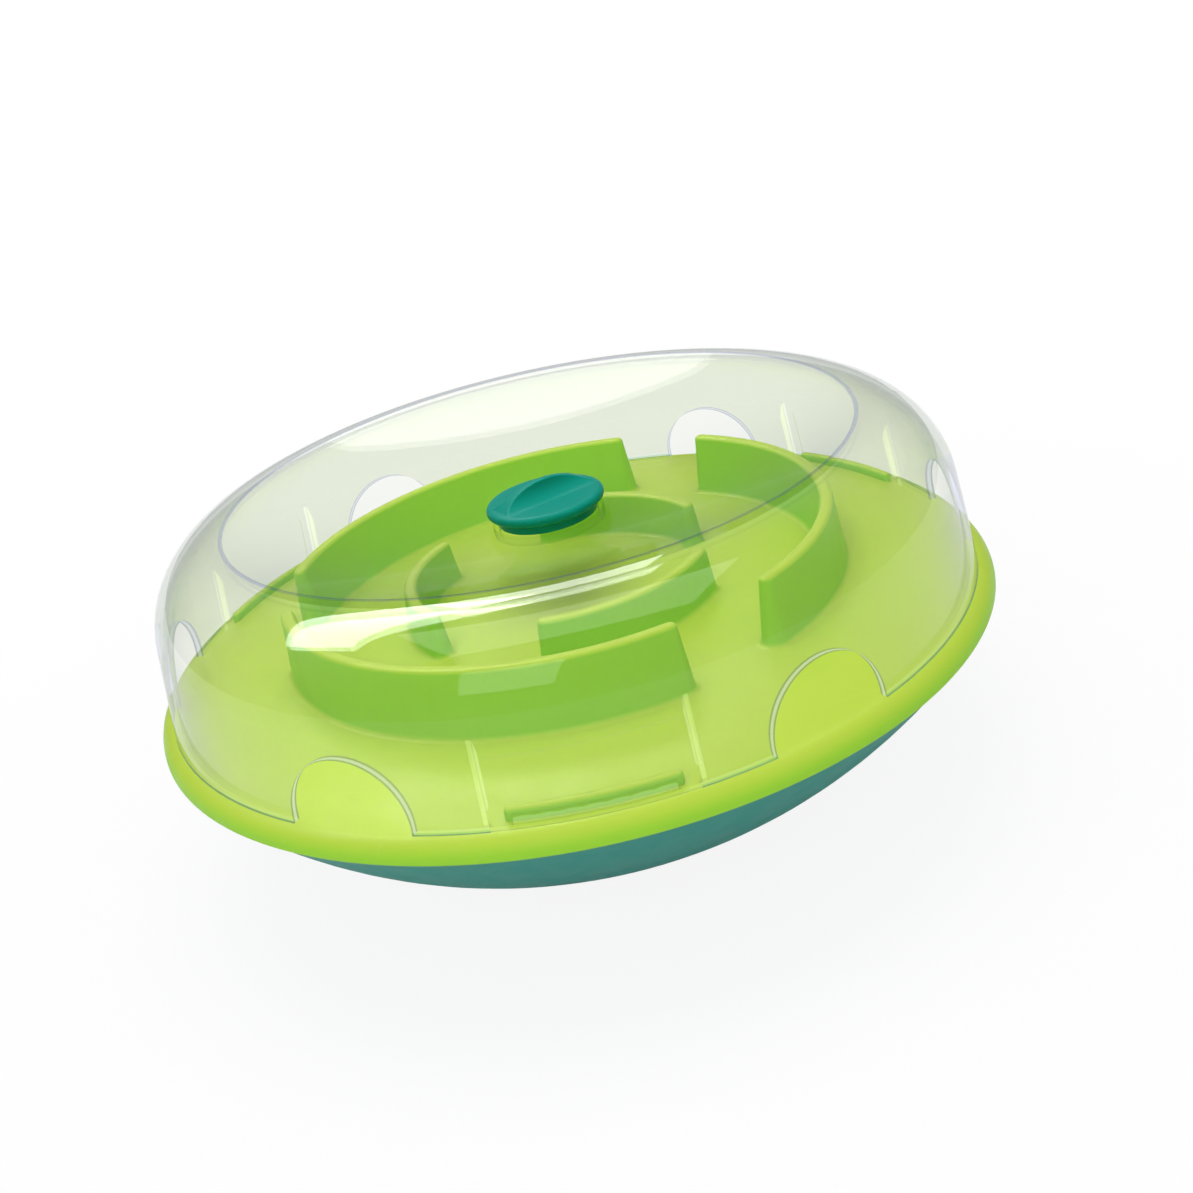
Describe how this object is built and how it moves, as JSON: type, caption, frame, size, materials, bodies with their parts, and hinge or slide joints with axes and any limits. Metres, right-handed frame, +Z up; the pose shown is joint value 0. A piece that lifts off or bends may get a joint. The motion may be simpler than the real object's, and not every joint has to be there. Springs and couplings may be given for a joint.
{
  "type": "treat dispensing wobble toy",
  "caption": "Round pet toy: a weighted rocker bowl carries a maze tray under a clear dished lid with treat arches round its foot and a push-in plug in its filling hole.",
  "frame": {"origin": "middle of the flat foot that the toy comes to rest on", "axes": "+Z up through the filling hole; -Y faces the front, where the middle of a lug is"},
  "size_m": [0.28, 0.28, 0.1259],
  "materials": {
    "teal_plastic": "satin moulded plastic",
    "lime_plastic": "satin gloss moulded plastic",
    "clear_plastic": "clear, glossy",
    "iron": "as cast",
    "steel": "zinc plated"
  },
  "bodies": {
    "base": {"base_shell": "teal_plastic", "ballast_weight": "iron", "ballast_washers": "steel", "ballast_screws": "steel", "maze_tray": "lime_plastic", "tray_screws": "steel"},
    "lid": {"dome_lid": "clear_plastic"},
    "plug": {"fill_plug": "teal_plastic"}
  },
  "joints": [
    {"name": "lid_lift", "type": "slide", "parent": "base", "child": "lid", "axis": [0, 0, 1], "range_m": [0, 0.06]},
    {"name": "plug_pull", "type": "slide", "parent": "lid", "child": "plug", "axis": [0, 0, 1], "range_m": [0, 0.04]}
  ]
}
